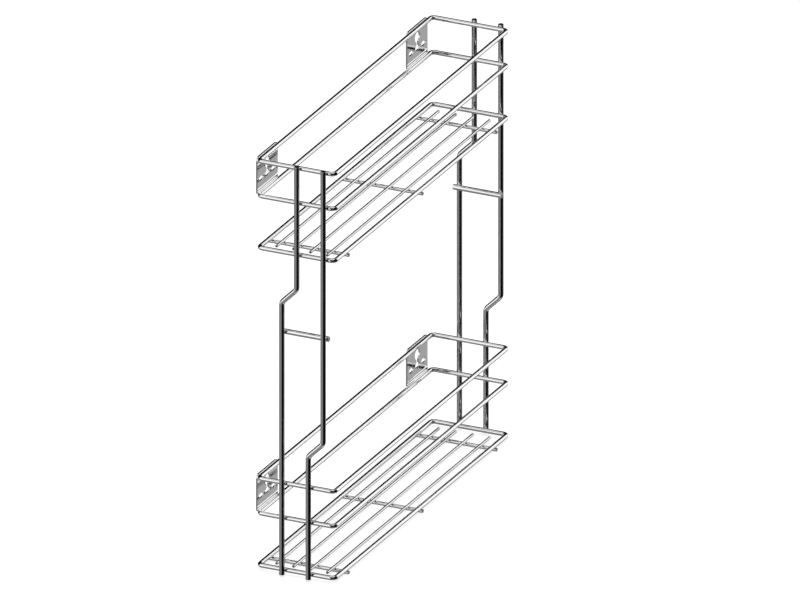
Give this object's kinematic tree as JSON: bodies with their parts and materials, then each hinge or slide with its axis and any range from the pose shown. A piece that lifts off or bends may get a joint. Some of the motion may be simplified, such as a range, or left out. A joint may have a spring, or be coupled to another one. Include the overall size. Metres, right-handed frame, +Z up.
{
  "type": "pull-out wire basket insert",
  "caption": "Tall, narrow pull-out insert for a base unit: open chromed wire baskets, one above the other, on joggled wire uprights, with slotted keyhole plates for side runners.",
  "frame": {"origin": "middle of the insert's bounding box across and along, at the underside of the lowest cross wires", "axes": "+X to the right across the cabinet, +Y from the front to the back along the way it pulls out, +Z up"},
  "size_m": [0.1038, 0.4886, 0.5164],
  "materials": {
    "chromed_wire": "bright chrome plating on drawn steel wire",
    "chromed_plate": "bright plating on stamped steel sheet"
  },
  "bodies": {
    "root": {"upper_top_ring": "chromed_wire", "upper_middle_ring": "chromed_wire", "upper_bottom_ring": "chromed_wire", "lower_top_ring": "chromed_wire", "lower_middle_ring": "chromed_wire", "lower_bottom_ring": "chromed_wire", "upper_floor_wire_1": "chromed_wire", "upper_floor_wire_2": "chromed_wire", "upper_floor_wire_3": "chromed_wire", "upper_floor_wire_4": "chromed_wire", "lower_floor_wire_1": "chromed_wire", "lower_floor_wire_2": "chromed_wire", "lower_floor_wire_3": "chromed_wire", "lower_floor_wire_4": "chromed_wire", "upper_cross_wire_front": "chromed_wire", "upper_cross_wire_middle": "chromed_wire", "upper_cross_wire_back": "chromed_wire", "lower_cross_wire_front": "chromed_wire", "lower_cross_wire_middle": "chromed_wire", "lower_cross_wire_back": "chromed_wire", "upright_front_left": "chromed_wire", "upright_front_right": "chromed_wire", "upright_back_left": "chromed_wire", "upright_back_right": "chromed_wire", "tie_bar_front": "chromed_wire", "tie_bar_back": "chromed_wire", "plate_upper_front": "chromed_plate", "plate_upper_back": "chromed_plate", "plate_lower_front": "chromed_plate", "plate_lower_back": "chromed_plate"}
  },
  "joints": []
}
